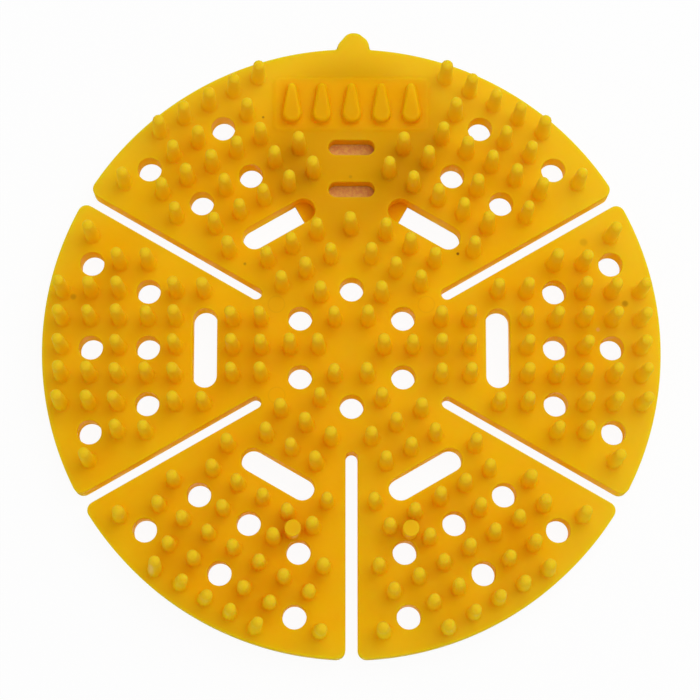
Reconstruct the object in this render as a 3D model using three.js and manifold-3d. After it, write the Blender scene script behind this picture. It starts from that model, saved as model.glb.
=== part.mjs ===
// Round urinal deodorizer screen: a soft moulded mat with splash pins, and a scent tablet under it.
// Millimetres, +Z up, +Y towards the lifting tab, origin in the middle of the flat underside.

import * as THREE from 'three';
import { mergeVertices } from 'three/addons/utils/BufferGeometryUtils.js';
import Module from 'manifold-3d';

const wasm = await Module();
wasm.setup();

// Plate
const matRadius = 90;
const plateThickness = 8;
const rimSegments = 84;

// Lifting tab on the rim
const tabWidth = 9.6;
const tabReach = 4.9;
const tabOffset = 0.5;

// Radial slits, open at the rim, between the six sectors
const sectorCount = 6;
const slitWidth = 3.5;
const slitStart = 32.25;
const slitMouthRadius = 2.6;

// Square grid of each sector, pushed outwards along the sector's axis
const gridPitch = 8.28;
const gridOffset = 1.25;

// Drain holes and long drain slots
const holeDiameter = 7;
const holeRingRadius = 17.3;
const slotLength = 23.4;
const slotWidth = 7;
const roundSegments = 10;
const cornerSegments = 3;

// Splash pins
const pinHeight = 15.5;
const pinBaseDiameter = 4.4;
const pinTipDiameter = 3.6;
const pinMargin = 4.2;
const pinSides = 6;
const pinRoot = 1;
const axisPinY = 35.5;

// Flat-topped ejector bosses
const bossDiameter = 4.9;
const bossHeight = 10;
const bossAlong = 54.7;
const bossAcross = 12.2;

// Raised panel with a row of drops
const panelWidth = 45.8;
const panelHeight = 16;
const panelY = 73.2;
const panelRise = 0.3;
const dropCount = 5;
const dropPitch = 8.8;
const dropLength = 12;
const dropWidth = 5.6;
const dropRise = 3.5;
const dropY = 73;

// Vent slots over the scent tablet
const ventLength = 13.6;
const ventWidth = 4.5;
const ventYs = [47.3, 60];

// Recess in the underside, the tablet in it, and the webs that close the upper slots beside it
const recessDepth = 2.5;
const recessWall = 1.6;
const recessLip = 3;
const recessTopY = 78;
const recessCornerRadius = 3;
const tabletClearance = 0.3;
const tabletInset = 0.2;
const webLength = 4.3;

// Cutters reach this far past the faces that they cut
const overcut = 1;

const plateTop = plateThickness;
const sectorTurn = (2 * Math.PI) / sectorCount;
const up = Math.PI / 2;

// Corner radius of a regular polygon with the area of a circle
function cornerRadius(radius, sides) {
  const step = (2 * Math.PI) / sides;
  return radius * Math.sqrt(step / Math.sin(step));
}

// A point given along and across a sector's axis
function inSector(sector, along, across) {
  return new THREE.Vector2(along, across).rotateAround(new THREE.Vector2(), sector * sectorTurn);
}

// Closed geometry to solid and back
function toSolid(geometry) {
  const bare = geometry.clone();
  bare.deleteAttribute('normal');
  bare.deleteAttribute('uv');
  const merged = mergeVertices(bare, 1e-5);
  const vertProperties = new Float32Array(merged.attributes.position.array);
  const triVerts = new Uint32Array(merged.index.array);
  return new wasm.Manifold(new wasm.Mesh({ numProp: 3, vertProperties, triVerts }));
}

function toGeometry(solid) {
  const mesh = solid.getMesh();
  const geometry = new THREE.BufferGeometry();
  geometry.setAttribute('position', new THREE.BufferAttribute(new Float32Array(mesh.vertProperties), 3));
  geometry.setIndex(new THREE.BufferAttribute(new Uint32Array(mesh.triVerts), 1));
  geometry.computeVertexNormals();
  return geometry;
}

// Solid between two heights over a flat shape
function prism(shape, bottom, top, segments = roundSegments) {
  const geometry = new THREE.ExtrudeGeometry(shape, {
    depth: top - bottom,
    bevelEnabled: false,
    curveSegments: segments,
  });
  geometry.translate(0, 0, bottom);
  return toSolid(geometry);
}

// A capsule is a round-ended slot from one centre to another. A hole has both in one place.
function capsule(from, to, width) {
  return { from, to, radius: width / 2 };
}

function distanceToCapsule(point, { from, to, radius }) {
  const span = to.clone().sub(from);
  const along = span.lengthSq() === 0 ? 0 : point.clone().sub(from).dot(span) / span.lengthSq();
  const nearest = from.clone().addScaledVector(span, THREE.MathUtils.clamp(along, 0, 1));
  return point.distanceTo(nearest) - radius;
}

function capsuleShape({ from, to, radius }) {
  const half = roundSegments / 2;
  const corner = cornerRadius(radius, roundSegments);
  const heading = Math.atan2(to.y - from.y, to.x - from.x);
  const points = [];
  for (let i = 0; i < half; i++) {
    const turn = heading - up + ((i + 0.5) * Math.PI) / half;
    points.push(new THREE.Vector2(Math.cos(turn), Math.sin(turn)).multiplyScalar(corner).add(to));
  }
  for (let i = 0; i < half; i++) {
    const turn = heading + up + ((i + 0.5) * Math.PI) / half;
    points.push(new THREE.Vector2(Math.cos(turn), Math.sin(turn)).multiplyScalar(corner).add(from));
  }
  return new THREE.Shape(points);
}

// Polygon with rounded corners
function roundedPolygon(corners, radius) {
  const shape = new THREE.Shape();
  corners.forEach((corner, i) => {
    const before = corners[(i + corners.length - 1) % corners.length];
    const after = corners[(i + 1) % corners.length];
    const back = before.clone().sub(corner).normalize();
    const on = after.clone().sub(corner).normalize();
    const setback = radius / Math.tan(Math.acos(back.dot(on)) / 2);
    const start = corner.clone().addScaledVector(back, setback);
    const end = corner.clone().addScaledVector(on, setback);
    if (i === 0) shape.moveTo(start.x, start.y);
    else shape.lineTo(start.x, start.y);
    shape.quadraticCurveTo(corner.x, corner.y, end.x, end.y);
  });
  shape.closePath();
  return shape;
}

// Slits lie between the sectors, apart from the one at the tab, which the panel takes
function slitTurns() {
  const turns = [];
  for (let i = 0; i < sectorCount; i++) {
    const turn = (i + 0.5) * sectorTurn;
    if (Math.abs(turn - up) > sectorTurn / 4) turns.push(turn);
  }
  return turns;
}

// A slit widens at the rim, where both its corners are rounded
function slitShape(turn) {
  const half = slitWidth / 2;
  const offset = half + slitMouthRadius;
  const filletRadius = matRadius - slitMouthRadius;
  const filletX = Math.sqrt(filletRadius ** 2 - offset ** 2);
  const lean = Math.atan2(offset, filletX);
  const end = cornerRadius(half, roundSegments);
  const steps = 4;
  const side = [];
  for (let i = 0; i <= steps; i++) {
    const swing = -up + (i / steps) * (up + lean);
    side.push(new THREE.Vector2(
      filletX + slitMouthRadius * Math.cos(swing),
      offset + slitMouthRadius * Math.sin(swing),
    ));
  }
  side.push(new THREE.Vector2(matRadius + overcut, side[steps].y));
  const points = [];
  for (let i = 0; i < roundSegments / 2; i++) {
    const swing = up + ((i + 0.5) * 2 * Math.PI) / roundSegments;
    points.push(new THREE.Vector2(slitStart + end * Math.cos(swing), end * Math.sin(swing)));
  }
  side.forEach((point) => points.push(new THREE.Vector2(point.x, -point.y)));
  side.slice().reverse().forEach((point) => points.push(point));
  points.forEach((point) => point.rotateAround(new THREE.Vector2(), turn));
  return new THREE.Shape(points);
}

function slitCapsule(turn) {
  const heading = new THREE.Vector2(Math.cos(turn), Math.sin(turn));
  const from = heading.clone().multiplyScalar(slitStart);
  return capsule(from, heading.clone().multiplyScalar(matRadius), slitWidth);
}

// The two sectors beside the tab hold the tablet between them. Inwards is towards the tab's line.
const tabSectors = [
  { sector: 1, inwards: 1 },
  { sector: 2, inwards: -1 },
];

function tabSide(sector) {
  return tabSectors.find((side) => side.sector === sector);
}

function overTablet(sector, across) {
  const side = tabSide(sector);
  return side !== undefined && across * side.inwards > slotLength / 2;
}

// Grid cells: place of a column along the sector's axis
function columnPlace(column) {
  return column * gridPitch + gridOffset;
}

const slotColumn = 5;
const innerHoles = { column: 7, rows: [-2, 0, 2] };
const outerHoles = { column: 9, rows: [-3, 0, 3] };

function isHoleCell(column, row) {
  return [innerHoles, outerHoles].some((set) => set.column === column && set.rows.includes(row));
}

function cells() {
  const list = [];
  const columns = Math.floor(matRadius / gridPitch);
  for (let sector = 0; sector < sectorCount; sector++) {
    for (let column = 1; column <= columns; column++) {
      const reach = Math.floor((columnPlace(column) * Math.tan(sectorTurn / 2)) / gridPitch);
      for (let row = -reach; row <= reach; row++) {
        const point = inSector(sector, columnPlace(column), row * gridPitch);
        list.push({ sector, column, row, point });
      }
    }
  }
  return list;
}

function drainHoles() {
  const holes = [];
  for (let sector = 0; sector < sectorCount; sector++) {
    const point = inSector(sector + 0.5, holeRingRadius, 0);
    holes.push(capsule(point, point, holeDiameter));
  }
  cells().forEach(({ sector, column, row, point }) => {
    if (isHoleCell(column, row) && !overTablet(sector, row * gridPitch)) {
      holes.push(capsule(point, point, holeDiameter));
    }
  });
  return holes;
}

function drainSlots() {
  const reach = (slotLength - slotWidth) / 2;
  const slots = [];
  for (let sector = 0; sector < sectorCount; sector++) {
    const from = inSector(sector, columnPlace(slotColumn), -reach);
    const to = inSector(sector, columnPlace(slotColumn), reach);
    slots.push(capsule(from, to, slotWidth));
  }
  return slots;
}

function vents() {
  const reach = (ventLength - ventWidth) / 2;
  return ventYs.map((y) => capsule(new THREE.Vector2(-reach, y), new THREE.Vector2(reach, y), ventWidth));
}

// Web in a tab-side slot: a low floor that closes the end nearest to the tablet
function slotWeb({ sector, inwards }) {
  const outer = (slotLength / 2 + overcut) * inwards;
  const inner = (slotLength / 2 - webLength) * inwards;
  const half = slotWidth / 2 + overcut;
  const place = columnPlace(slotColumn);
  const corners = [
    inSector(sector, place - half, inner),
    inSector(sector, place + half, inner),
    inSector(sector, place + half, outer),
    inSector(sector, place - half, outer),
  ];
  if (inwards < 0) corners.reverse();
  return prism(new THREE.Shape(corners), 0, recessDepth);
}

// Recess outline: its sides run along the two sectors' axes, just past the slots' ends
function recessOutline(inset) {
  const across = slotLength / 2 + recessWall;
  const slope = Math.tan(sectorTurn / 2);
  const shift = across / Math.cos(sectorTurn / 2);
  const halfWidth = (y) => y * slope - shift;
  const bottom = ventYs[0] - ventWidth / 2 - recessLip;
  const trim = inset / Math.cos(sectorTurn / 2);
  const low = bottom + inset;
  const high = recessTopY - inset;
  const corners = [
    new THREE.Vector2(-halfWidth(low) + trim, low),
    new THREE.Vector2(halfWidth(low) - trim, low),
    new THREE.Vector2(halfWidth(high) - trim, high),
    new THREE.Vector2(-halfWidth(high) + trim, high),
  ];
  return roundedPolygon(corners, recessCornerRadius - inset);
}

// Pins stand on every free cell that keeps the margin to all openings, the rim and the panel
function pinPlaces(openings) {
  const axisPin = new THREE.Vector2(0, axisPinY);
  const places = [axisPin];
  cells().forEach(({ sector, column, row, point }) => {
    const drained = isHoleCell(column, row) && !overTablet(sector, row * gridPitch);
    const clear = openings.every((opening) => distanceToCapsule(point, opening) >= pinMargin);
    const onPlate = point.length() <= matRadius - pinMargin;
    const alone = point.distanceTo(axisPin) >= gridPitch;
    const panelGapX = Math.max(Math.abs(point.x) - panelWidth / 2, 0);
    const panelGapY = Math.max(Math.abs(point.y - panelY) - panelHeight / 2, 0);
    const offPanel = Math.hypot(panelGapX, panelGapY) >= pinMargin;
    if (!drained && clear && onPlate && alone && offPanel) places.push(point);
  });
  return places;
}

function pinSolid() {
  const grow = cornerRadius(1, pinSides);
  const tip = (pinTipDiameter / 2) * grow;
  const shoulder = pinHeight - pinTipDiameter / 2;
  const profile = [
    new THREE.Vector2(0, -pinRoot),
    new THREE.Vector2((pinBaseDiameter / 2) * grow, -pinRoot),
    new THREE.Vector2(tip, shoulder),
    new THREE.Vector2(tip * Math.SQRT1_2, shoulder + (pinTipDiameter / 2) * Math.SQRT1_2),
    new THREE.Vector2(0, pinHeight),
  ];
  const geometry = new THREE.LatheGeometry(profile, pinSides);
  geometry.rotateX(up);
  geometry.translate(0, 0, plateTop);
  return toSolid(geometry);
}

// One boss stands in each of the two sectors opposite the tab, on the side nearest to the slit between them
function bossPlaces() {
  return [inSector(4, bossAlong, bossAcross), inSector(5, bossAlong, -bossAcross)];
}

// A drop: a round belly with straight flanks up to its point
function dropShape(x) {
  const radius = dropWidth / 2;
  const tipRise = dropLength - radius;
  const flank = Math.acos(radius / tipRise);
  const centreY = dropY - dropLength / 2 + radius;
  const points = [new THREE.Vector2(x, centreY + tipRise)];
  for (let i = 0; i <= roundSegments; i++) {
    const swing = up + flank + (i / roundSegments) * (2 * Math.PI - 2 * flank);
    points.push(new THREE.Vector2(x + radius * Math.cos(swing), centreY + radius * Math.sin(swing)));
  }
  return new THREE.Shape(points);
}

// The moulded mat
function splashMat() {
  const disc = new THREE.Shape();
  disc.absarc(0, 0, matRadius, 0, 2 * Math.PI, false);
  let solid = prism(disc, 0, plateTop, rimSegments);

  const tabRadius = tabWidth / 2;
  const tabCentre = matRadius + tabReach - tabRadius;
  const root = new THREE.Vector2(tabOffset, tabCentre - tabWidth);
  const tip = new THREE.Vector2(tabOffset, tabCentre);
  solid = solid.add(prism(capsuleShape(capsule(root, tip, tabWidth)), 0, plateTop));

  const openings = [...drainHoles(), ...drainSlots()];
  const cutters = openings.map((opening) => prism(capsuleShape(opening), -overcut, plateTop + overcut));
  slitTurns().forEach((turn) => cutters.push(prism(slitShape(turn), -overcut, plateTop + overcut)));
  cutters.forEach((cutter) => {
    solid = solid.subtract(cutter);
  });
  tabSectors.forEach((side) => {
    solid = solid.add(slotWeb(side));
  });

  solid = solid.subtract(prism(recessOutline(0), -overcut, recessDepth, cornerSegments));
  vents().forEach((vent) => {
    solid = solid.subtract(prism(capsuleShape(vent), recessDepth - overcut, plateTop + overcut));
  });

  const panel = new THREE.Shape([
    new THREE.Vector2(-panelWidth / 2, panelY - panelHeight / 2),
    new THREE.Vector2(panelWidth / 2, panelY - panelHeight / 2),
    new THREE.Vector2(panelWidth / 2, panelY + panelHeight / 2),
    new THREE.Vector2(-panelWidth / 2, panelY + panelHeight / 2),
  ]);
  solid = solid.add(prism(panel, plateTop - pinRoot, plateTop + panelRise));
  for (let i = 0; i < dropCount; i++) {
    const x = (i - (dropCount - 1) / 2) * dropPitch;
    solid = solid.add(prism(dropShape(x), plateTop - pinRoot, plateTop + dropRise));
  }

  bossPlaces().forEach((place) => {
    const boss = capsule(place, place, bossDiameter);
    solid = solid.add(prism(capsuleShape(boss), plateTop - pinRoot, plateTop + bossHeight));
  });

  const slits = slitTurns().map(slitCapsule);
  const pin = pinSolid();
  pinPlaces([...openings, ...vents(), ...slits]).forEach((place) => {
    solid = solid.add(pin.translate([place.x, place.y, 0]));
  });
  return toGeometry(solid);
}

// The scent tablet in the recess
function scentTablet() {
  const outline = recessOutline(tabletClearance);
  return toGeometry(prism(outline, tabletInset, recessDepth - tabletClearance, cornerSegments));
}

const softPlastic = new THREE.MeshStandardMaterial({ color: 0xe0960f, roughness: 0.45, metalness: 0 });
const pressedScent = new THREE.MeshStandardMaterial({ color: 0xc98757, roughness: 0.9, metalness: 0 });

const mat = new THREE.Mesh(splashMat(), softPlastic);
mat.name = 'splash_mat';

const tablet = new THREE.Mesh(scentTablet(), pressedScent);
tablet.name = 'scent_tablet';

const screen = new THREE.Group();
screen.add(mat, tablet);

export default screen;
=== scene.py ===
"""Looks of a round urinal deodorizer screen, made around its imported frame.

The mat and the scent tablet are closed skins, each gathered from profiles carried along outlines
and from flat fills between them. Lengths are in metres. +Z is up and +Y points to the lifting tab.
"""

import math

import bpy
import numpy as np
from bpy.props import FloatProperty, FloatVectorProperty, IntProperty, PointerProperty
from mathutils import Matrix, Vector
from mathutils.geometry import delaunay_2d_cdt


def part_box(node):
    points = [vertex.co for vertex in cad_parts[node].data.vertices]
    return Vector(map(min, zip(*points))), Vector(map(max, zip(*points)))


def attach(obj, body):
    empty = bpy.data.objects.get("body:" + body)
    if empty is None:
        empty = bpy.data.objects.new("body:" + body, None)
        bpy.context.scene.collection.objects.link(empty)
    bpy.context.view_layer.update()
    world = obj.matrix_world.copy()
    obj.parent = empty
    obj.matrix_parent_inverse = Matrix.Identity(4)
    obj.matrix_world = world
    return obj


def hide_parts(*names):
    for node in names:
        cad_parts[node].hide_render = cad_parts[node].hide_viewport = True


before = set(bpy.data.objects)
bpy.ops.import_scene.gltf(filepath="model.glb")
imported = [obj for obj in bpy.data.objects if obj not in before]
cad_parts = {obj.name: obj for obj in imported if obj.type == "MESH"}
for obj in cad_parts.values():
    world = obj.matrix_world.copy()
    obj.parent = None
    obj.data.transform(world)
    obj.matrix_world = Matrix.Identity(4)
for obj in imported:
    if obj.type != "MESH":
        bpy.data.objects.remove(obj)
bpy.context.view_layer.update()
mat_low, mat_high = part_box("splash_mat")
tablet_low, tablet_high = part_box("scent_tablet")

bl_info = {
    "name": "Urinal Screen Looks",
    "version": (1, 0, 0),
    "blender": (4, 5, 0),
    "location": "View3D > Sidebar > Urinal Screen",
    "description": "Makes the moulded mat, its scent tablet and the stage of a urinal screen",
    "category": "Object",
}

MM = 0.001
QUARTER = math.pi / 2

# Sectors are numbered anticlockwise from the right. The tab and the tablet lie between two of them.
SECTORS = 6
SECTOR_TURN = 2 * math.pi / SECTORS
TAB_BEFORE, TAB_AFTER = 1, 2
BOSS_SECTORS = np.array([4, 5])

# Steps of a drain slot's round end
SLOT_STEPS = 14

# Columns of a sector's grid, counted outwards: that of the slot, and those of the drain holes with their rows
SLOT_COLUMN = 5
DRAIN_COLUMNS = {7: [-2, 0, 2], 9: [-3, 0, 3]}


def length(name, description, millimetres):
    """A size that a user can change, given in millimetres and held in metres."""
    return FloatProperty(
        name=name, description=description, default=millimetres * MM,
        unit="LENGTH", subtype="DISTANCE", precision=5,
    )


def spot(name, description, right, back, up):
    """A place that a user can change, given in millimetres and held in metres."""
    place = (right * MM, back * MM, up * MM)
    return FloatVectorProperty(
        name=name, description=description, default=place, size=3, subtype="TRANSLATION"
    )


def number(name, description, value):
    """A plain number that a user can change, not below nought."""
    return FloatProperty(name=name, description=description, default=value, min=0)


def angle(name, description, degrees):
    """An angle that a user can change, given in degrees and held in radians."""
    return FloatProperty(
        name=name, description=description, default=math.radians(degrees), unit="ROTATION", subtype="ANGLE"
    )


def colour(name, description, red, green, blue):
    """A paint colour that a user can change, given as screen values from 0 to 255."""
    screen = np.array([red, green, blue]) / 255
    linear = np.where(screen > 0.04045, ((screen + 0.055) / 1.055) ** 2.4, screen / 12.92)
    return FloatVectorProperty(
        name=name, description=description, default=linear.tolist(), size=3, min=0, max=1, subtype="COLOR"
    )


class UrinalScreenMat(bpy.types.PropertyGroup):
    """Sizes of the moulded mat."""

    plate: length("Plate", "Thickness of the plate", 8)
    top_edge: length("Top edge", "Rounding where a wall meets the plate's top", 0.3)
    under_edge: length("Under edge", "Rounding where a wall meets the underside", 0.25)
    tab_width: length("Tab width", "Width of the lifting tab", 9.6)
    tab_offset: length("Tab offset", "How far the tab stands to the right of the middle line", 0.5)
    tab_root: length("Tab root", "Radius of the hollow corners at the tab's root", 0.7)
    slit_width: length("Slit width", "Width of the radial slits", 3.5)
    slit_start: length("Slit start", "Distance from the middle to the centre of a slit's round end", 32.25)
    slit_mouth: length("Slit mouth", "Radius of the corners where a slit meets the rim", 2.6)
    pitch: length("Pitch", "Pitch of each sector's square grid", 8.28)
    grid_offset: length("Grid offset", "How far the grid is pushed outwards", 1.25)
    hole: length("Hole", "Diameter of the drain holes", 7)
    hole_ring: length("Hole ring", "Radius of the ring of holes round the middle", 17.3)
    slot_length: length("Slot length", "Length of the drain slots", 23.4)
    slot_width: length("Slot width", "Width of the drain slots", 7)
    web: length("Web", "Length of slot that the web beside the tablet closes", 4.3)
    vent_length: length("Vent length", "Length of the two slots over the tablet", 13.6)
    vent_width: length("Vent width", "Width of the two slots over the tablet", 4.5)
    vent_near: length("Near vent", "Distance of the nearer vent from the middle", 47.3)
    vent_far: length("Far vent", "Distance of the farther vent from the middle", 60)
    recess_wall: length("Recess wall", "Wall between the slots' ends and the tablet's recess", 1.6)
    recess_corner: length("Recess corner", "Corner radius of the tablet's recess", 3)
    recess_gap: length("Recess gap", "Clearance round and over the tablet", 0.3)
    ejector: length("Ejector mark", "Diameter of the flush round marks", 4.8)
    boss: length("Boss", "Diameter of the flat-topped bosses", 4.9)
    boss_height: length("Boss height", "Height of the bosses above the plate", 10)
    boss_foot: length("Boss foot", "Radius of the fillet at a boss's foot", 0.02)
    boss_edge: length("Boss edge", "Rounding of a boss's upper edge", 0.3)
    boss_draft: length("Boss draft", "How far a boss's side leans in", 0.05)
    boss_along: length("Boss along", "Distance of a boss from the middle, along its sector", 54.7)
    boss_across: length("Boss across", "Distance of a boss from its sector's axis", 12.2)
    panel_width: length("Panel width", "Width of the raised panel", 45.8)
    panel_height: length("Panel height", "Height of the raised panel, towards the tab", 16)
    panel_place: length("Panel place", "Distance of the panel's centre from the middle", 73.2)
    panel_rise: length("Panel rise", "How far the panel stands above the plate", 0.3)
    panel_corner: length("Panel corner", "Corner radius of the panel", 1.2)
    panel_slope: length("Panel slope", "Width of the soft slope round the panel", 1.4)


class UrinalScreenPins(bpy.types.PropertyGroup):
    """Sizes of the splash pins and the row of drops."""

    base: length("Base", "Diameter of a pin at its foot", 4.2)
    tip: length("Tip", "Diameter of a pin under its round tip", 3.4)
    foot: length("Foot", "Radius of the fillet at a pin's foot", 0.7)
    margin: length("Margin", "Least distance of a pin's axis from an opening or the rim", 4.2)
    axis_pin: length("Middle pin", "Distance of the single pin on the middle line", 35.5)
    sides: IntProperty(name="Sides", description="Sides of a pin", default=12, min=6, max=24)
    wobble: length("Wobble", "Spread of the tips' places, as soft pins lean a little", 0.16)
    drops: IntProperty(name="Drops", description="Number of raised drops", default=5, min=1, max=9)
    drop_pitch: length("Drop pitch", "Distance between two drops", 8.8)
    drop_length: length("Drop length", "Length of a drop", 12)
    drop_width: length("Drop width", "Width of a drop's belly", 5.6)
    drop_tip: length("Drop tip", "Radius of a drop's point", 1.3)
    drop_crown: length("Drop crown", "Rounding of a drop's upper edge", 1.0)
    drop_foot: length("Drop foot", "Radius of the hollow fillet at a drop's foot", 0.7)
    drop_draft: length("Drop draft", "How far a drop's side leans in", 0.1)
    drop_rise: length("Drop rise", "Height of the drops above the plate", 3.5)
    drop_place: length("Drop place", "Distance of the drops' middle from the mat's middle", 73)


class UrinalScreenFinish(bpy.types.PropertyGroup):
    """Colours of the soft plastic and of the scent tablet, with painted light and painted shade on the
    plastic.
    """

    plastic: colour("Plastic", "Soft plastic of the plate", 248, 200, 14)
    mottle: colour("Mottle", "Warmer clouds in the plate", 247, 192, 6)
    # Painted light: the plate near the rim is paler, where few pins shade it
    rim: colour("Rim", "Plate near the rim, where there are few pins", 248, 204, 30)
    shaded: colour("Shaded", "Plate over the dark tablet", 228, 174, 6)
    # Painted light: the plastic low down in the openings is paler, standing in for light that comes through
    # it
    walls: colour("Walls", "Plastic low down in the openings, where light comes through it", 255, 206, 2)
    # Painted shade: the same walls beside the tablet are darker
    wall_shade: colour("Deep", "Plastic low down beside the tablet", 253, 170, 0)
    # Painted light: the pins are paler towards their tips, standing in for light scattered in the thin
    # plastic
    tips: colour("Tips", "Plastic at the pins' tips", 233, 194, 36)
    warm: colour("Warm", "Plate between the drops", 248, 184, 4)
    glow: colour("Glow", "Light that the plastic carries down the walls of the openings", 150, 108, 0)
    dirt: colour("Dirt", "Specks and smudges on the plate", 120, 70, 16)
    fleck: colour("Fleck", "Pale flecks on the plate", 255, 196, 120)
    scent: colour("Scent", "Pale grains of the tablet", 243, 204, 108)
    scent_dark: colour("Dark scent", "Dark grains of the tablet", 228, 166, 98)
    cloud: length("Cloud", "Size of the clouds in the plate", 28)
    # The plain middle is set down and to the left, so the rim's painted light reaches further in at the upper
    # right
    rim_light_right: length("Rim right", "How far right the plain middle of the plate is set", -6)
    rim_light_up: length("Rim up", "How far up the plain middle of the plate is set", -8)
    sheen: length("Sheen", "Size of the duller and shinier patches", 6)
    lump: length("Lump", "Size of the fine lumps of the plastic", 2.2)
    lump_height: length("Lump height", "Height of the fine lumps of the plastic", 0.25)
    scatter: length("Scatter", "How far light spreads inside the plastic", 5)
    mark_width: length("Mark width", "Width of the edge of an ejector mark", 0.35)
    mark: number("Mark", "Strength of the ejector marks", 0.08)
    glow_strength: number("Glow strength", "Strength of the light carried down the walls", 0.36)
    shaft_glow: number("Shaft glow", "Share of that light that the pins' shafts have", 0.3)
    grain: length("Grain", "Size of the tablet's grains", 1.1)
    pit: length("Pit", "Size of the tablet's pits", 0.7)
    pit_depth: length("Pit depth", "Depth of the tablet's pits", 0.3)


class UrinalScreenStage(bpy.types.PropertyGroup):
    """Places of the camera and strengths of the lights."""

    distance: length("Distance", "Distance of the camera from the middle of the mat", 738.9)
    tilt: angle("Tilt", "How far the camera leans back from straight down", 9.876)
    bank: angle("Bank", "How far the camera leans sideways", -0.458)
    roll: angle("Roll", "How far the camera is turned in its own frame", 0.077)
    aim_right: length("Aim right", "How far right of the picture's middle the mat lies", 0.463)
    aim_up: length("Aim up", "How far above the picture's middle the mat lies", 0.624)
    lens: length("Lens", "Focal length of the camera", 130.7)
    sky: number("Sky", "Strength of the plain white world", 0.49)
    key: number("Key", "Power of the large soft lamp, in watts", 3.45)
    key_size: length("Key size", "Width of the large lamp", 700)
    key_place: spot("Key place", "Place of the large lamp", 290, 260, 760)
    fill: number("Fill", "Power of the second lamp, in watts", 0.3)
    fill_size: length("Fill size", "Width of the second lamp", 600)
    fill_place: spot("Fill place", "Place of the second lamp", -400, -400, 600)
    floor_half: length("Floor", "Half the width of the floor", 6000)
    floor_white: number("Floor white", "Share of plain white in the floor that the camera sees", 0.94)


GROUPS = {
    "screen_mat": UrinalScreenMat,
    "screen_pins": UrinalScreenPins,
    "screen_finish": UrinalScreenFinish,
    "screen_stage": UrinalScreenStage,
}

# Lean of all pins, right and up, and what the outermost pins of each sector have besides
SHARED_LEAN = np.array([-0.4, 0.2]) * MM
SECTOR_LEAN = np.array([[1.0, -0.15], [0.5, -0.3], [1.0, -0.5], [0.45, 0.2], [1.05, -0.7], [-0.1, 0.0]]) * MM

# Pins that came out of the mould bent: their row in one column of a sector, and millimetres right and up
BENT_SECTOR, BENT_COLUMN = 4, 10
BENT_PINS = [(-2, 0.9, 1.2), (-1, 1.6, 0.3), (0, 1.4, 0.0), (1, 0.8, 0.4), (2, 1.3, 0.8)]

# Wear of the tab's round end: share of its radius that is gone, and where and how wide, in degrees
TAB_WEAR = [(0.11, 140, 24), (0.04, 52, 10)]

# Outlines. An outline is a closed run of points with the outward normal of the wall at each one.
# The material, or for a raised shape the open plate, lies on its left.


def arc(centre, radius, start, end, steps, hollow=False):
    """Points on a circle between two angles, ends included. A hollow arc's wall faces the centre."""
    angles = np.linspace(start, end, steps + 1)
    way = np.stack([np.cos(angles), np.sin(angles)], axis=-1)
    points = np.asarray(centre) + radius * way
    return points, -way if hollow else way


def chain(*runs):
    """Several runs of points and normals, one after another."""
    return np.concatenate([run[0] for run in runs]), np.concatenate([run[1] for run in runs])


def turned(run, angle):
    """A run of points and normals, turned about the origin."""
    c, s = math.cos(angle), math.sin(angle)
    spin = np.array([[c, s], [-s, c]])
    return run[0] @ spin, run[1] @ spin


def backwards(run):
    return run[0][::-1], run[1][::-1]


def capsule(start, end, width, steps):
    """Outline of a round-ended slot, clockwise, its wall facing inwards: two half circles about its ends."""
    start, end = np.asarray(start, float), np.asarray(end, float)
    heading = math.atan2(end[1] - start[1], end[0] - start[0])
    far = arc(end, width / 2, heading + QUARTER, heading - QUARTER, steps, hollow=True)
    near = arc(start, width / 2, heading - QUARTER, heading - 3 * QUARTER, steps, hollow=True)
    return chain(far, near)


def circles(centres, radius, count, hollow):
    """Outlines of equal circles, clockwise, as arrays of circle, point and coordinate."""
    angles = -np.arange(count) * 2 * math.pi / count
    way = np.stack([np.cos(angles), np.sin(angles)], axis=-1)
    points = np.asarray(centres)[:, None] + radius * way
    normals = np.broadcast_to(-way if hollow else way, points.shape)
    return points, normals


def drop(x, pins):
    """Outline of a drop, clockwise: a large circle and a small one above it, joined by their tangents."""
    belly = pins.drop_width / 2
    rise = pins.drop_length - belly - pins.drop_tip
    flank = math.acos((belly - pins.drop_tip) / rise)
    low = np.array([x, pins.drop_place - pins.drop_length / 2 + belly])
    below = arc(low, belly, QUARTER + flank, 5 * QUARTER - flank, 18)
    above = arc(low + [0, rise], pins.drop_tip, QUARTER - flank, QUARTER + flank, 5)
    return backwards(chain(below, above))


def rounded_corners(corners, radius, steps):
    """Outline of a convex polygon given anticlockwise, with each corner as an arc."""
    corners = np.asarray(corners)
    runs = []
    for before, corner, after in zip(np.roll(corners, 1, 0), corners, np.roll(corners, -1, 0)):
        into = (corner - before) / np.linalg.norm(corner - before)
        out = (after - corner) / np.linalg.norm(after - corner)
        start = math.atan2(into[1], into[0]) - QUARTER
        bend = math.acos(np.clip(into @ out, -1, 1))
        back = radius * math.tan(bend / 2)
        centre = corner - into * back + radius * np.array([-into[1], into[0]])
        runs.append(arc(centre, radius, start, start + bend, steps))
    return chain(*runs)


def slit(mat, radius, turn):
    """A radial slit as the rim's outline passes it: a rounded corner, the inner end and the other corner."""
    half = mat.slit_width / 2
    aside = half + mat.slit_mouth
    out = math.sqrt((radius - mat.slit_mouth) ** 2 - aside**2)
    lean = math.atan2(aside, out)
    first = arc([out, -aside], mat.slit_mouth, -lean, QUARTER, 6)
    inner = arc([mat.slit_start, 0], half, -QUARTER, -3 * QUARTER, 10, hollow=True)
    second = arc([out, aside], mat.slit_mouth, -QUARTER, lean, 6)
    return turned(chain(first, inner, second), turn), lean


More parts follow.
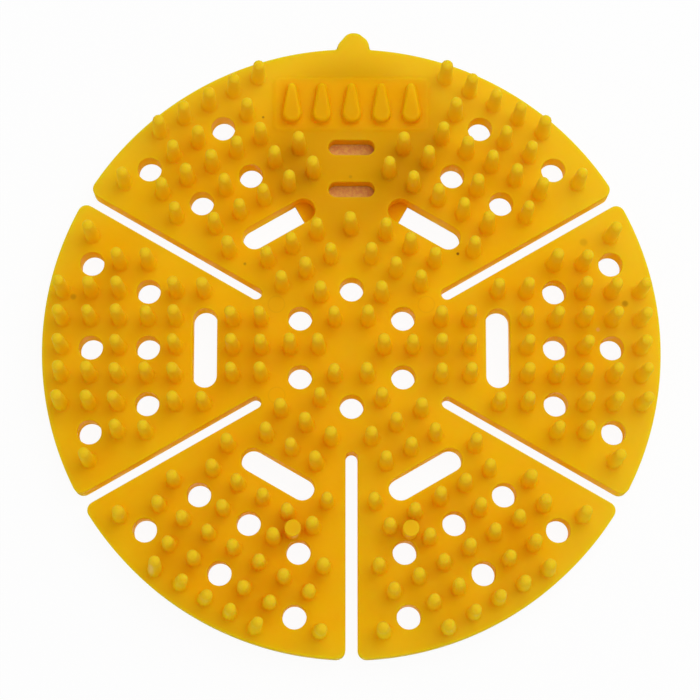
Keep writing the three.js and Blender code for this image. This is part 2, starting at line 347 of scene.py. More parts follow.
def tab(mat, radius, reach):
    """The lifting tab as the rim's outline passes it, with hollow roots and a worn round end."""
    half = mat.tab_width / 2
    root = mat.tab_root
    sides = np.array([mat.tab_offset + half + root, mat.tab_offset - half - root])
    heights = np.sqrt((radius + root) ** 2 - sides**2)
    inwards = np.arctan2(-heights, -sides)
    right = arc([sides[0], heights[0]], root, inwards[0], -2 * QUARTER, 4, hollow=True)
    left = arc([sides[1], heights[1]], root, 0, inwards[1], 4, hollow=True)
    centre = np.array([mat.tab_offset, radius + reach - half])
    points, normals = arc(centre, half, 0, 2 * QUARTER, 28)
    angles = np.linspace(0, 180, len(points))
    worn = sum(share * np.exp(-(((angles - place) / width) ** 2)) for share, place, width in TAB_WEAR)
    points = centre + (points - centre) * (1 - worn)[:, None]
    right_turn, left_turn = np.arctan2(heights, sides)
    return chain(right, (points, normals), left), right_turn, left_turn


def rim(mat):
    """Outline of the whole mat, anticlockwise: arcs of the rim between the slits, one with the tab."""
    radius = (mat_high.x - mat_low.x) / 2
    reach = mat_high.y - radius
    runs = []
    for number in range(SECTORS):
        middle = number * SECTOR_TURN
        after = middle + SECTOR_TURN / 2
        passed, lean = slit(mat, radius, after)
        open_before = number != TAB_AFTER
        open_after = number != TAB_BEFORE
        start = middle - SECTOR_TURN / 2 + (lean if open_before else 0)
        end = after - (lean if open_after else 0)
        if not open_after:
            tab_run, right_turn, left_turn = tab(mat, radius, reach)
            runs.append(arc([0, 0], radius, start, right_turn, 44))
            runs.append(tab_run)
            continue
        if not open_before:
            start = left_turn
        points, normals = arc([0, 0], radius, start, end, 44)
        runs.append((points[1:-1], normals[1:-1]))
        runs.append(passed)
    runs[0] = runs[0][0][1:], runs[0][1][1:]
    points, normals = chain(*runs)
    apart = np.linalg.norm(points - np.roll(points, 1, 0), axis=1) > 0.01 * MM
    return points[apart], normals[apart]


# Places


def in_sector(sector, along, across):
    """Points given along and across a sector's axis."""
    turn = np.asarray(sector) * SECTOR_TURN
    return np.stack([
        along * np.cos(turn) - across * np.sin(turn),
        along * np.sin(turn) + across * np.cos(turn),
    ], axis=-1)


def grid_cells(mat):
    """Cells of the six square grids, as arrays of sector, column, row and place."""
    radius = mat_high.x
    columns = np.arange(1, int(radius // mat.pitch) + 1)
    rows = np.arange(-columns[-1], columns[-1] + 1)
    sector, column, row = [a.ravel() for a in np.meshgrid(np.arange(SECTORS), columns, rows, indexing="ij")]
    along = column * mat.pitch + mat.grid_offset
    inside = np.abs(row) <= np.floor(along * math.tan(SECTOR_TURN / 2) / mat.pitch)
    place = in_sector(sector, along, row * mat.pitch)
    return sector[inside], column[inside], row[inside], place[inside]


def hole_cells(mat):
    """The grid cells, and which of them hold a drain hole. The holes over the tablet are left out."""
    sector, column, row, place = grid_cells(mat)
    drained = np.zeros(len(place), bool)
    for drain_column, drain_rows in DRAIN_COLUMNS.items():
        drained |= (column == drain_column) & np.isin(row, drain_rows)
    inwards = np.where(sector == TAB_BEFORE, 1, np.where(sector == TAB_AFTER, -1, 0))
    over_tablet = row * inwards * mat.pitch > mat.slot_length / 2
    return sector, column, row, place, drained & ~over_tablet


def capsule_distance(points, start, end, radius):
    """Distance from each point to a capsule's wall, negative inside it."""
    span = end - start
    size = max(span @ span, 1e-12)
    along = np.clip((points - start) @ span / size, 0, 1)
    return np.linalg.norm(points - start - along[:, None] * span, axis=1) - radius


def slots(mat):
    """Ends of the six drain slots' centre lines."""
    half = (mat.slot_length - mat.slot_width) / 2
    along = SLOT_COLUMN * mat.pitch + mat.grid_offset
    numbers = np.arange(SECTORS)
    return in_sector(numbers, along, -half), in_sector(numbers, along, half)


def vents(mat):
    """Ends of the two vents' centre lines."""
    half = (mat.vent_length - mat.vent_width) / 2
    return [([-half, y], [half, y]) for y in (mat.vent_near, mat.vent_far)]


def ring_holes(mat):
    """Centres of the holes round the middle."""
    return in_sector(np.arange(SECTORS) + 0.5, mat.hole_ring, 0)


def pin_places(mat, pins):
    """Places, leans and girths of the pins, one in every free cell that keeps the margin."""
    sector, column, row, place, drained = hole_cells(mat)
    radius = mat_high.x
    keep = ~drained & (np.linalg.norm(place, axis=1) <= radius - pins.margin)
    openings = [(c, c, mat.hole / 2) for c in np.concatenate([place[drained], ring_holes(mat)])]
    openings += [(a, b, mat.slot_width / 2) for a, b in zip(*slots(mat))]
    openings += [(np.array(a), np.array(b), mat.vent_width / 2) for a, b in vents(mat)]
    for number in range(SECTORS):
        if number != TAB_BEFORE:
            way = in_sector(number + 0.5, 1, 0)
            openings.append((way * mat.slit_start, way * radius, mat.slit_width / 2))
    for start, end, half in openings:
        keep &= capsule_distance(place, start, end, half) >= pins.margin
    single = np.array([0, pins.axis_pin])
    keep &= np.linalg.norm(place - single, axis=1) >= mat.pitch
    beside = np.maximum(np.abs(place[:, 0]) - mat.panel_width / 2, 0)
    above = np.maximum(np.abs(place[:, 1] - mat.panel_place) - mat.panel_height / 2, 0)
    keep &= np.hypot(beside, above) >= pins.margin
    places = np.concatenate([place[keep], single[None]])
    share = (np.linalg.norm(places, axis=1) / radius)[:, None] ** 2
    lean = np.concatenate([SECTOR_LEAN[sector[keep]], [[0, 0]]]) * share
    random = np.random.default_rng(7)
    lean += SHARED_LEAN + random.normal(0, pins.wobble, places.shape)
    girth = random.normal(1, 0.02, len(places))
    for bent_row, right, up in BENT_PINS:
        bent = (sector == BENT_SECTOR) & (column == BENT_COLUMN) & (row == bent_row)
        lean[np.flatnonzero(bent[keep])] = np.array([right, up]) * MM
    return places, lean, girth


# Surfaces


def inside(points, ring):
    """Which points lie inside a ring: those whose line to the right crosses it an odd number of times."""
    start, end = ring[None], np.roll(ring, -1, axis=0)[None]
    x, y = points[:, :1], points[:, 1:]
    spans = (start[..., 1] > y) != (end[..., 1] > y)
    rise = np.where(spans, end[..., 1] - start[..., 1], 1)
    crossing = start[..., 0] + (y - start[..., 1]) * (end[..., 0] - start[..., 0]) / rise
    return (spans & (crossing > x)).sum(axis=1) % 2 == 1


class Skin:
    """One closed surface, gathered patch by patch. Each corner of a face has the normal of its own patch."""

    def __init__(self):
        self.points = np.zeros((0, 3))
        self.faces = []
        self.normals = []

    def add(self, points):
        """Adds points and returns their numbers, in the same arrangement."""
        first = len(self.points)
        self.points = np.concatenate([self.points, points.reshape(-1, 3)])
        return first + np.arange(points[..., 0].size).reshape(points.shape[:-1])

    def cover(self, faces, normals):
        """Adds faces as rows of point numbers, with one normal for each corner."""
        self.faces.append(np.asarray(faces))
        self.normals.append(np.asarray(normals))

    def carry(self, outline, profile, lean=None):
        """A profile carried along closed outlines: each point of an outline is moved along its normal by the
        profile's offset and set at its height. Leans move a whole outline sideways as it rises."""
        points, outward = [np.asarray(a) for a in outline]
        offset, height, out, up = [np.asarray(a, float)[:, None] for a in profile]
        flat = points[..., None, :, :] + outward[..., None, :, :] * offset[..., None]
        if lean is not None:
            rise = (height - height[0]) / (height[-1] - height[0])
            flat = flat + lean[:, None, None, :] * rise[..., None]
        z = np.broadcast_to(height, flat.shape[:-1])
        numbers = self.add(np.concatenate([flat, z[..., None]], axis=-1))
        level = np.broadcast_to(outward[..., None, :, :], flat.shape) * out[..., None]
        steep = np.broadcast_to(up, flat.shape[:-1])[..., None]
        normal = np.concatenate([level, steep], axis=-1)
        quads = [self.pick(numbers, i, j) for i, j in ((0, 0), (1, 0), (1, 1), (0, 1))]
        shades = [self.pick(normal, i, j, 1) for i, j in ((0, 0), (1, 0), (1, 1), (0, 1))]
        self.cover(np.stack(quads, axis=-1).reshape(-1, 4), np.stack(shades, axis=-2).reshape(-1, 4, 3))
        return numbers

    @staticmethod
    def pick(values, down, along, extra=0):
        """The value at one corner of each quad of a grid that closes along its outline."""
        axis = values.ndim - 1 - extra
        rolled = np.roll(values, -along, axis=axis)
        rows = rolled.shape[axis - 1]
        return np.take(rolled, np.arange(down, rows - 1 + down), axis=axis - 1)

    def close(self, ring, apex):
        """Closes rings to one point each, as fans."""
        tops = np.broadcast_to(self.add(apex)[..., None], ring.shape)
        after = np.roll(ring, -1, axis=-1)
        return np.stack([ring, tops, after], axis=-1).reshape(-1, 3)

    def fill(self, rings, up, inner=None):
        """A flat fill between closed rings, as a constrained Delaunay mesh. The first ring is the outer one,
        and the others are convex holes: a triangle with all its corners on one hole lies in it and is left
        out, and one with all its corners on the outer ring is kept if its middle lies inside that ring."""
        numbers = np.concatenate([ring.ravel() for ring in rings])
        owner = np.repeat(np.arange(len(rings)), [ring.size for ring in rings])
        edges = np.concatenate([np.stack([own, np.roll(own, -1)], axis=-1) for own in (
            np.flatnonzero(owner == number) for number in range(len(rings))
        )])
        if inner is not None:
            numbers = np.concatenate([numbers, inner])
            owner = np.concatenate([owner, len(rings) + np.arange(inner.size)])
        flat = self.points[numbers, :2] / MM
        found = delaunay_2d_cdt([Vector(p) for p in flat.tolist()], edges.tolist(), [], 0, 1e-7, True)
        origin = np.array([source[0] for source in found[3]])
        corners = origin[np.array(found[2])]
        same = (owner[corners] == owner[corners[:, :1]]).all(axis=1)
        outer = owner[corners[:, 0]] == 0
        keep = ~same | (outer & inside(flat[corners].mean(axis=1), flat[owner == 0]))
        faces = numbers[corners[keep]]
        a, b, c = [self.points[faces[:, k], :2] for k in range(3)]
        area = (b - a)[:, 0] * (c - a)[:, 1] - (b - a)[:, 1] * (c - a)[:, 0]
        wrong = area * up < 0
        faces[wrong] = faces[wrong][:, ::-1]
        self.cover(faces, np.broadcast_to([0, 0, float(up)], (len(faces), 3, 3)))

    def make(self, name, material):
        """The finished mesh object, with every corner's own normal."""
        mesh = bpy.data.meshes.new(name)
        faces = [row for block in self.faces for row in block.tolist()]
        mesh.from_pydata(self.points.tolist(), [], faces)
        mesh.polygons.foreach_set("use_smooth", np.ones(len(faces), bool))
        normals = np.concatenate([block.reshape(-1, 3) for block in self.normals])
        mesh.normals_split_custom_set(normals.tolist())
        mesh.update()
        mesh.materials.append(material)
        piece = bpy.data.objects.new(name, mesh)
        bpy.context.scene.collection.objects.link(piece)
        return piece


def quarter(radius, steps, start, end):
    """Sines and cosines of a rounding, from one share of a quarter turn to another."""
    angles = np.linspace(start, end, steps + 1) * QUARTER
    return radius * np.sin(angles), radius * np.cos(angles), np.sin(angles), np.cos(angles)


def wall_profile(top, bottom, over, under):
    """Offsets, heights and normals down a wall: a rounding at the top, a plain wall and one at the bottom."""
    sin_a, cos_a, out_a, up_a = quarter(over, 2, 0, 1)
    sin_b, cos_b, out_b, up_b = quarter(under, 2, 1, 0) if under else np.array([[0], [0], [1], [0]], float)
    offset = np.concatenate([sin_a - over, sin_b - under])
    height = np.concatenate([top - over + cos_a, bottom + under - cos_b])
    return offset, height, np.concatenate([out_a, out_b]), np.concatenate([up_a, -up_b])


def raised_profile(bottom, top, foot, crown, draft, steps=2):
    """Offsets, heights and normals up a raised shape: a hollow foot, a leaning side and a rounded crown."""
    sin_a, cos_a, out_a, up_a = quarter(foot, steps, 0, 1)
    sin_b, cos_b, out_b, up_b = quarter(crown, steps, 1, 0)
    offset = np.concatenate([foot - sin_a, sin_b - crown - draft])
    height = np.concatenate([bottom + foot - cos_a, top - crown + cos_b])
    return offset, height, np.concatenate([out_a, out_b]), np.concatenate([up_a, up_b])


def slope_profile(bottom, rise, width):
    """Offsets, heights and normals up a gentle slope: half a cosine wave across its width."""
    share = np.linspace(0, 1, 7)
    steep = rise / width * QUARTER * np.sin(share * math.pi)
    size = np.hypot(steep, 1)
    return (0.5 - share) * width, bottom + rise * (1 - np.cos(share * math.pi)) / 2, steep / size, 1 / size


def pin_profile(plate, top, pins):
    """Offsets, heights and normals up a pin: a hollow foot, a slim shaft and the start of its round tip."""
    base, tip = pins.base / 2, pins.tip / 2
    offset = [pins.foot, 0.25 * pins.foot, 0, tip - base, 0.68 * tip - base]
    height = [plate, plate + 0.3 * pins.foot, plate + 1.2 * pins.foot, top - tip, top - 0.27 * tip]
    out = [0, 0.72, 1, 0.995, 0.68]
    up = [1, 0.69, 0.05, 0.1, 0.73]
    return np.array(offset), np.array(height), np.array(out), np.array(up)


def build_mat(mat, pins):
    """The whole mat as one closed skin: opening walls, pins, bosses, panel, drops and flat fills."""
    skin = Skin()
    plate = mat.plate
    top_rings, under_rings = [], []
    through = wall_profile(plate, 0, mat.top_edge, mat.under_edge)
    whole = skin.carry(rim(mat), through)
    top_rings.append(whole[0])
    under_rings.append(whole[-1])

    # Drain holes
    place, drained = hole_cells(mat)[3:]
    centres = np.concatenate([place[drained], ring_holes(mat)])
    holes = skin.carry(circles(centres, mat.hole / 2, 28, hollow=True), through)
    top_rings.extend(holes[:, 0])
    under_rings.extend(holes[:, -1])

    # Drain slots. A web closes one end of the two beside the tablet.
    recess_top = tablet_high.z + mat.recess_gap
    for number, (start, end) in enumerate(zip(*slots(mat))):
        if number in (TAB_BEFORE, TAB_AFTER):
            top_ring, under_ring = webbed_slot(skin, mat, start, end, recess_top, number == TAB_AFTER)
        else:
            ring = skin.carry(capsule(start, end, mat.slot_width, SLOT_STEPS), through)
            top_ring, under_ring = ring[0], ring[-1]
        top_rings.append(top_ring)
        under_rings.append(under_ring)

    # Vents down to the tablet's recess, and the recess itself
    ceiling = []
    for start, end in vents(mat):
        profile = wall_profile(plate, recess_top, mat.top_edge, 0)
        ring = skin.carry(capsule(start, end, mat.vent_width, 12), profile)
        top_rings.append(ring[0])
        ceiling.append(ring[-1])
    points, outward = recess_outline(mat, 0)
    straight = np.zeros(2), [recess_top, 0], np.ones(2), np.zeros(2)
    ring = skin.carry(backwards((points, -outward)), straight)
    under_rings.append(ring[-1])
    skin.fill([ring[0], *ceiling], -1)

    # Raised panel with its drops
    half_width, half_height = mat.panel_width / 2, mat.panel_height / 2
    y = mat.panel_place
    corners = [
        [-half_width, y - half_height], [half_width, y - half_height],
        [half_width, y + half_height], [-half_width, y + half_height],
    ]
    outline = backwards(rounded_corners(corners, mat.panel_corner, 5))
    ring = skin.carry(outline, slope_profile(plate, mat.panel_rise, mat.panel_slope))
    top_rings.append(ring[0])
    panel_rings = [ring[-1]]
    feet = plate + mat.panel_rise
    top = plate + pins.drop_rise
    drop_profile = raised_profile(feet, top, pins.drop_foot, pins.drop_crown, pins.drop_draft, 4)
    for number in range(pins.drops):
        x = (number - (pins.drops - 1) / 2) * pins.drop_pitch
        ring = skin.carry(drop(x, pins), drop_profile)
        panel_rings.append(ring[0])
        skin.fill([ring[-1]], 1)
    skin.fill(panel_rings, 1)

    # Bosses
    centres = in_sector(BOSS_SECTORS, mat.boss_along, np.array([1, -1]) * mat.boss_across)
    top = plate + mat.boss_height
    profile = raised_profile(plate, top, mat.boss_foot, mat.boss_edge, mat.boss_draft)
    bosses = skin.carry(circles(centres, mat.boss / 2 - mat.boss_foot, 24, hollow=False), profile)
    top_rings.extend(bosses[:, 0])
    for ring in bosses[:, -1]:
        skin.fill([ring], 1)

    # Pins
    places, lean, girth = pin_places(mat, pins)
    points, outward = circles(places, pins.base / 2, pins.sides, hollow=False)
    points = places[:, None] + (points - places[:, None]) * girth[:, None, None]
    shafts = skin.carry((points, outward), pin_profile(plate, mat_high.z, pins), lean)
    apex = np.concatenate([places + lean, np.full((len(places), 1), mat_high.z)], axis=1)
    caps = skin.close(shafts[:, -1], apex)
    way = skin.points[caps] - np.array([0, 0, mat_high.z - pins.tip / 2])
    middle = np.repeat((places + lean), pins.sides, axis=0)[:, None]
    way[..., :2] -= middle
    skin.cover(caps, way / np.linalg.norm(way, axis=-1, keepdims=True))
    top_rings.extend(shafts[:, 0])

    skin.fill(top_rings, 1)
    skin.fill(under_rings, -1)
    return skin


def webbed_slot(skin, mat, start, end, web_top, far_end):
    """A slot whose one end has a floor: its whole outline down to the web, and the cut outline below it."""
    inner, outer = (start, end) if not far_end else (end, start)
    way = (outer - inner) / np.linalg.norm(outer - inner)
    side = np.array([-way[1], way[0]])
    half = mat.slot_width / 2
    reach = (mat.slot_length / 2 - mat.web) * way + (start + end) / 2
    points, outward = capsule(inner, outer, mat.slot_width, SLOT_STEPS)
    right, left = reach - half * side, reach + half * side
    turn = SLOT_STEPS + 1
    points = np.concatenate([[left], points[:turn], [right], points[turn:]])
    outward = np.concatenate([[-side], outward[:turn], [side], outward[turn:]])
    upper = skin.carry((points, outward), wall_profile(mat.plate, web_top, mat.top_edge, 0))
    kept = np.array([0, *range(turn + 1, len(points))])
    cut = upper[-1][kept]
    lower_points, lower_outward = points[kept], outward[kept]
    ring = skin.points[cut] * [1, 1, 0]
    under = skin.add(ring)
    after = np.roll(np.arange(len(kept)), -1)
    quads = np.stack([cut, under, under[after], cut[after]], axis=-1)
    shade = np.concatenate([lower_outward, np.zeros((len(kept), 1))], axis=1)
    normals = np.stack([shade, shade, shade[after], shade[after]], axis=1)
    normals[0] = [*-way, 0]
    skin.cover(quads, normals)
    floor = upper[-1][: turn + 2][::-1]
    skin.cover([floor], [[[0, 0, 1]] * len(floor)])
    return upper[0], under


def recess_outline(mat, inset):
    """Outline of the tablet's recess: its sides run along two sectors' axes, just past the slots' ends."""
    across = mat.slot_length / 2 + mat.recess_wall
    slope = math.tan(SECTOR_TURN / 2)
    shift = (across + inset) / math.cos(SECTOR_TURN / 2)
    low = tablet_low.y - mat.recess_gap + inset
    high = tablet_high.y + mat.recess_gap - inset
    near, far = low * slope - shift, high * slope - shift
    corners = [[-near, low], [near, low], [far, high], [-far, high]]
    return rounded_corners(corners, mat.recess_corner - inset, 6)


def build_tablet(mat):
    """The scent tablet: a slab with rounded edges, whose top is a mesh of pressed grains."""
    skin = Skin()
    edge = 0.35 * MM
    grain = 0.22 * MM
    outline = recess_outline(mat, mat.recess_gap)
    ring = skin.carry(outline, wall_profile(tablet_high.z, tablet_low.z, edge, edge))
    spacing = 0.9 * MM
    across = np.arange(tablet_low.x, tablet_high.x, spacing)
    along = np.arange(tablet_low.y, tablet_high.y, spacing)
    grid = np.stack(np.meshgrid(across, along), axis=-1).reshape(-1, 2)
    random = np.random.default_rng(11)
    grid += random.uniform(-0.3, 0.3, grid.shape) * spacing
    points, normals = outline
    depth = ((points[None] - grid[:, None]) * normals[None]).sum(axis=2).min(axis=1)
    grid = grid[depth > edge + 0.5 * spacing]
    height = tablet_high.z - random.uniform(0, 1, len(grid)) ** 2 * grain
    inner = skin.add(np.concatenate([grid, height[:, None]], axis=1))
    skin.fill([ring[0]], 1, inner)
    skin.fill([ring[-1]], -1)
    return skin


# Materials


class Paint:
    """Short ways to add shader nodes to one material."""

    def __init__(self, name):
        self.material = bpy.data.materials.new(name)
        self.material.use_nodes = True
        self.tree = self.material.node_tree
        self.shader = self.tree.nodes["Principled BSDF"]
        self.place = self.node("ShaderNodeTexCoord").outputs["Object"]
        split = self.node("ShaderNodeSeparateXYZ")
        self.link(self.place, split.inputs[0])
        self.parts = split.outputs

    def node(self, kind, **settings):
        made = self.tree.nodes.new(kind)
        for key, value in settings.items():
            setattr(made, key, value)
        return made

    def link(self, source, target):
        if isinstance(source, bpy.types.NodeSocket):
            self.tree.links.new(source, target)
        else:
            target.default_value = source

    def noise(self, size, detail, roughness=0.5):
        """Noise from 0 to 1 whose lumps are about this many metres across."""
        made = self.node("ShaderNodeTexNoise")
        made.inputs["Scale"].default_value = 1 / size
        made.inputs["Detail"].default_value = detail
        made.inputs["Roughness"].default_value = roughness
        self.link(self.place, made.inputs["Vector"])
        return made.outputs["Fac"]

    def ramp(self, value, low, high, smooth=True):
        """A value brought to the range from 0 to 1 between two limits."""
        made = self.node("ShaderNodeMapRange", interpolation_type="SMOOTHSTEP" if smooth else "LINEAR")
        self.link(value, made.inputs["Value"])
        made.inputs["From Min"].default_value = low
        made.inputs["From Max"].default_value = high
        return made.outputs["Result"]

    def math(self, operation, a, b=0):
        made = self.node("ShaderNodeMath", operation=operation)
        self.link(a, made.inputs[0])
        self.link(b, made.inputs[1])
        return made.outputs[0]

    def mix(self, share, a, b):
        made = self.node("ShaderNodeMix", data_type="RGBA")
        self.link(share, made.inputs[0])
        self.link(a, made.inputs[6])
        self.link(b, made.inputs[7])
        return made.outputs[2]

    def bump(self, lumps, strength, distance):
        """Fine lumps on the surface."""
        made = self.node("ShaderNodeBump")
        made.inputs["Strength"].default_value = strength
        made.inputs["Distance"].default_value = distance
        self.link(lumps, made.inputs["Height"])
        self.link(made.outputs[0], self.shader.inputs["Normal"])

    def away(self, x, y):
        """Distance from an upright line through the plan."""
        made = self.node("ShaderNodeVectorMath", operation="DISTANCE")
        flat = self.node("ShaderNodeVectorMath", operation="MULTIPLY")
        self.link(self.place, flat.inputs[0])
        flat.inputs[1].default_value = (1, 1, 0)
        self.link(flat.outputs[0], made.inputs[0])
        made.inputs[1].default_value = (x, y, 0)
        return made.outputs["Value"]

    def spot(self, x, y, radius, core):
        """One in the core of a round spot of the plan, falling to nought at its edge."""
        return self.ramp(self.away(x, y), radius, core)

    def ring(self, x, y, radius, width):
        """One on a circle of the plan, falling to nought at this distance from it."""
        off = self.math("ABSOLUTE", self.math("SUBTRACT", self.away(x, y), radius))
        return self.ramp(off, width, 0)


def rgba(value):
    return (*value, 1.0)


# Spots on the plate: place right and up of the middle and radius, in millimetres, and how strong they are
SPECKS = [
    (31.1, 28.0, 0.6, 0.9),
    (-31.2, 24.9, 0.6, 0.45),
    (-26.1, 69.1, 0.5, 0.6),
    (-48.7, -66.3, 0.5, 0.5),
    (68.0, 31.5, 1.6, 0.2),
    (79.8, 13.2, 1.3, 0.4),
    (-81.1, 15.0, 1.2, 0.3),
    (-0.3, 51.1, 0.7, 0.25),
]
FLECKS = [
    (71.8, 5.5, 0.8, 0.6),
    (-57.0, -65.2, 1.3, 0.5),
]

# Flush round marks of the mould's ejectors: place right and up of the middle, in millimetres
EJECTOR_MARKS = [(21.8, 12.9), (-21.9, 12.9), (-21.7, -14.0)]


def spotted(paint, base, spots, tint):
    """A colour with round spots of another, each fading from a core of a third of its radius."""
    for x, y, radius, strength in spots:
        spot = paint.spot(x * MM, y * MM, radius * MM, 0.35 * radius * MM)
        base = paint.mix(paint.math("MULTIPLY", spot, strength), base, tint)
    return base


def plate_colour(paint, finish, mat, over):
    """Colour of the plate: clouds, painted light that makes the rim paler, painted shade over the tablet and
    a warm panel.
    """
    across, along, height = paint.parts
    clouds = paint.ramp(paint.noise(finish.cloud, 3), 0.32, 0.68)
    base = paint.mix(clouds, rgba(finish.mottle), rgba(finish.plastic))
    # Painted light: paler near the rim, more so at the upper right
    clear_of_rim_light = paint.spot(finish.rim_light_right, finish.rim_light_up, mat_high.x + 4 * MM, 0.82 * mat_high.x)
    base = paint.mix(clear_of_rim_light, rgba(finish.rim), base)
    # Painted shade: the plate over the tablet is darker
    base = paint.mix(over, base, rgba(finish.shaded))
    beside = paint.ramp(paint.math("ABSOLUTE", across), 0.55 * mat.panel_width, 0.4 * mat.panel_width)
    off = paint.math("ABSOLUTE", paint.math("SUBTRACT", along, mat.panel_place))
    near = paint.ramp(off, 0.6 * mat.panel_height, 0.3 * mat.panel_height)
    low = paint.ramp(height, mat.plate + 2 * MM, mat.plate + 0.5 * MM)
    panel = paint.math("MULTIPLY", paint.math("MULTIPLY", beside, near), low)
    return paint.mix(panel, base, rgba(finish.warm))


def soft_plastic(finish, mat):
    """Soft translucent plastic: a mottled plate, painted light low in the openings and on the pin tips,
    painted shade over and beside the tablet, a glow that stands in for light carried down the walls, and
    spots and marks.
    """
    paint = Paint("soft_plastic")
    height = paint.parts[2]
    middle = (tablet_low.y + tablet_high.y) / 2
    # Painted shade over the tablet: it darkens the plate there and the walls beside it, and weakens their
    # glow
    over = paint.spot(0, middle, tablet_high.x + 5 * MM, 0.7 * tablet_high.x)
    base = plate_colour(paint, finish, mat, over)
    # Painted light on the walls low down in the openings, and painted shade in its place beside the tablet
    wall_light_and_shade = paint.ramp(height, mat.plate, 0.4 * mat.plate, smooth=False)
    wall_light_and_shade = paint.math("MULTIPLY", wall_light_and_shade, paint.spot(0, 0, mat_high.x, 0.97 * mat_high.x))
    base = paint.mix(wall_light_and_shade, base, paint.mix(over, rgba(finish.walls), rgba(finish.wall_shade)))
    # Painted light: paler towards the pins' tips
    rise = paint.ramp(height, mat.plate + 4 * MM, mat_high.z, smooth=False)
    base = paint.mix(rise, base, rgba(finish.tips))
    base = spotted(paint, base, SPECKS, rgba(finish.dirt))
    base = spotted(paint, base, FLECKS, rgba(finish.fleck))
    for x, y in EJECTOR_MARKS:
        ring = paint.ring(x * MM, y * MM, mat.ejector / 2, finish.mark_width)
        base = paint.mix(paint.math("MULTIPLY", ring, finish.mark), base, rgba(finish.dirt))
    # Painted light: the walls of the openings and the pins' shafts glow, standing in for light carried
    # through the plastic
    lit = paint.math("MULTIPLY", wall_light_and_shade, paint.ramp(over, 1.5, 0, smooth=False))
    shaft = paint.ramp(height, mat.plate + 0.5 * MM, mat.plate + 4 * MM)
    lit = paint.math("ADD", lit, paint.math("MULTIPLY", shaft, finish.shaft_glow))
    shader = paint.shader
    paint.link(base, shader.inputs["Base Color"])
    paint.link(paint.mix(lit, rgba((0, 0, 0)), rgba(finish.glow)), shader.inputs["Emission Color"])
    shader.inputs["Emission Strength"].default_value = finish.glow_strength
    shader.inputs["Subsurface Weight"].default_value = 1.0
    shader.inputs["Subsurface Radius"].default_value = (1.0, 0.5, 0.1)
    shader.inputs["Subsurface Scale"].default_value = finish.scatter
    shader.inputs["IOR"].default_value = 1.45
    shader.inputs["Specular IOR Level"].default_value = 0.05
    paint.link(paint.ramp(paint.noise(finish.sheen, 4), -0.6, 1.4), shader.inputs["Roughness"])
    paint.bump(paint.noise(finish.lump, 3), 0.25, finish.lump_height)
    return paint.material


def pressed_scent(finish):
    """Pressed scent: matt, in pale and dark grains."""
    paint = Paint("pressed_scent")
    grains = paint.ramp(paint.noise(finish.grain, 4, 0.7), 0.35, 0.65)
    base = paint.mix(grains, rgba(finish.scent_dark), rgba(finish.scent))
    paint.link(base, paint.shader.inputs["Base Color"])
    paint.shader.inputs["Roughness"].default_value = 0.85
    paint.bump(paint.noise(finish.pit, 3), 0.6, finish.pit_depth)
    return paint.material


# Operators


class URINALSCREEN_OT_mat(bpy.types.Operator):
    """Make the moulded mat in place of its plain solid"""

    bl_idname = "urinal_screen.mat"
    bl_label = "Moulded mat"

    def execute(self, context):
        scene = context.scene
        material = soft_plastic(scene.screen_finish, scene.screen_mat)
        piece = build_mat(scene.screen_mat, scene.screen_pins).make("moulded_mat", material)
        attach(piece, "root")
        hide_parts("splash_mat")
        return {"FINISHED"}


class URINALSCREEN_OT_tablet(bpy.types.Operator):
    """Make the grainy scent tablet in place of its plain solid"""

    bl_idname = "urinal_screen.tablet"
    bl_label = "Scent tablet"

    def execute(self, context):
        scene = context.scene
        piece = build_tablet(scene.screen_mat).make("pressed_tablet", pressed_scent(scene.screen_finish))
        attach(piece, "root")
        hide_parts("scent_tablet")
        return {"FINISHED"}


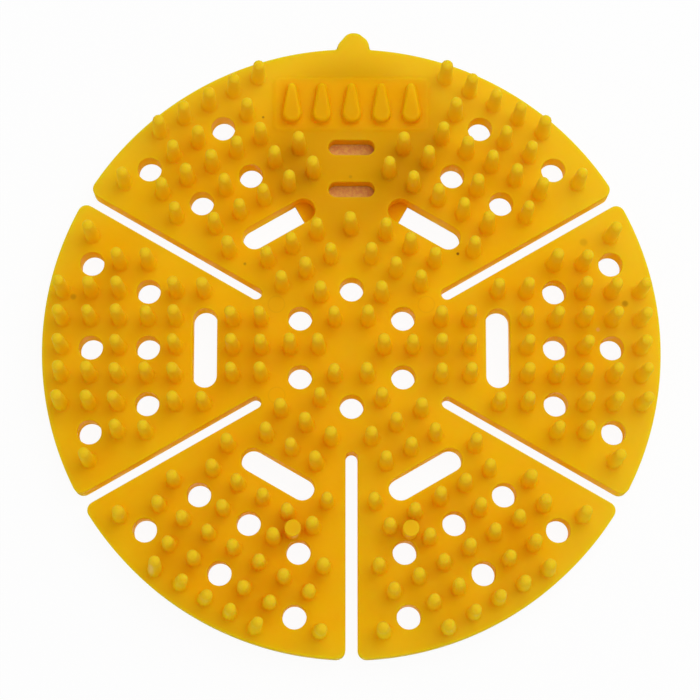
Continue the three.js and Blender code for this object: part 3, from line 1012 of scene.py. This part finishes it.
class URINALSCREEN_OT_stage(bpy.types.Operator):
    """Set the white floor, the soft lights and the camera"""

    bl_idname = "urinal_screen.stage"
    bl_label = "Stage"

    def execute(self, context):
        stage = context.scene.screen_stage
        self.floor(stage)
        self.world(stage)
        self.lamp("key_lamp", stage.key, stage.key_size, stage.key_place)
        self.lamp("fill_lamp", stage.fill, stage.fill_size, stage.fill_place)
        self.camera(stage, context.scene.screen_mat)
        context.scene.view_settings.view_transform = "Standard"
        return {"FINISHED"}

    def floor(self, stage):
        """A wide flat floor under the mat. To the camera it is nearly plain white and keeps some shadow."""
        half = stage.floor_half
        corners = [(-half, -half, 0), (half, -half, 0), (half, half, 0), (-half, half, 0)]
        mesh = bpy.data.meshes.new("floor")
        mesh.from_pydata(corners, [], [(0, 1, 2, 3)])
        floor = bpy.data.objects.new("floor", mesh)
        bpy.context.scene.collection.objects.link(floor)
        mesh.materials.append(self.floor_paint(stage))

    def floor_paint(self, stage):
        paint = Paint("floor_white")
        paint.shader.inputs["Base Color"].default_value = (0.9, 0.9, 0.9, 1)
        paint.shader.inputs["Roughness"].default_value = 1.0
        glow = paint.node("ShaderNodeEmission")
        path = paint.node("ShaderNodeLightPath")
        seen = paint.math("MAXIMUM", path.outputs["Is Camera Ray"], path.outputs["Is Glossy Ray"])
        seen = paint.math("MAXIMUM", seen, path.outputs["Is Transmission Ray"])
        share = paint.math("MULTIPLY", seen, stage.floor_white)
        blend = paint.node("ShaderNodeMixShader")
        paint.link(share, blend.inputs[0])
        paint.tree.links.new(paint.shader.outputs[0], blend.inputs[1])
        paint.tree.links.new(glow.outputs[0], blend.inputs[2])
        paint.tree.links.new(blend.outputs[0], paint.tree.nodes["Material Output"].inputs["Surface"])
        return paint.material

    def world(self, stage):
        world = bpy.data.worlds.new("studio")
        world.use_nodes = True
        world.node_tree.nodes["Background"].inputs["Color"].default_value = (1, 1, 1, 1)
        world.node_tree.nodes["Background"].inputs["Strength"].default_value = stage.sky
        bpy.context.scene.world = world

    def lamp(self, name, watts, size, place):
        light = bpy.data.lights.new(name, "AREA")
        light.energy = watts
        light.size = size
        lamp = bpy.data.objects.new(name, light)
        bpy.context.scene.collection.objects.link(lamp)
        lamp.location = place
        lamp.rotation_euler = (-Vector(place)).to_track_quat("-Z", "Y").to_euler()

    def camera(self, stage, mat):
        """Places the camera at the photograph's viewing angle."""
        data = bpy.data.cameras.new("camera")
        data.sensor_width = 36
        data.lens = stage.lens / MM
        turn = (
            Matrix.Rotation(stage.tilt, 3, "X")
            @ Matrix.Rotation(stage.bank, 3, "Y")
            @ Matrix.Rotation(stage.roll, 3, "Z")
        )
        camera = bpy.data.objects.new("camera", data)
        bpy.context.scene.collection.objects.link(camera)
        camera.rotation_euler = turn.to_euler()
        camera.location = turn @ Vector((-stage.aim_right, -stage.aim_up, stage.distance))
        camera.location.z += mat.plate
        bpy.context.scene.camera = camera


class URINALSCREEN_PT_panel(bpy.types.Panel):
    """Lists the steps and the sizes"""

    bl_label = "Urinal Screen"
    bl_idname = "URINALSCREEN_PT_panel"
    bl_space_type = "VIEW_3D"
    bl_region_type = "UI"
    bl_category = "Urinal Screen"

    def draw(self, context):
        for step in STEPS:
            self.layout.operator(step.bl_idname)
        for name, group in GROUPS.items():
            box = self.layout.box()
            for size in group.__annotations__:
                box.prop(getattr(context.scene, name), size)


STEPS = (URINALSCREEN_OT_mat, URINALSCREEN_OT_tablet, URINALSCREEN_OT_stage)


def register():
    for group in GROUPS.values():
        bpy.utils.register_class(group)
    for step in STEPS:
        bpy.utils.register_class(step)
    bpy.utils.register_class(URINALSCREEN_PT_panel)
    for name, group in GROUPS.items():
        setattr(bpy.types.Scene, name, PointerProperty(type=group))


def unregister():
    for name in GROUPS:
        delattr(bpy.types.Scene, name)
    bpy.utils.unregister_class(URINALSCREEN_PT_panel)
    for step in reversed(STEPS):
        bpy.utils.unregister_class(step)
    for group in reversed(GROUPS.values()):
        bpy.utils.unregister_class(group)


def main():
    register()
    bpy.ops.urinal_screen.mat()
    bpy.ops.urinal_screen.tablet()
    bpy.ops.urinal_screen.stage()


if __name__ == "__main__":
    main()
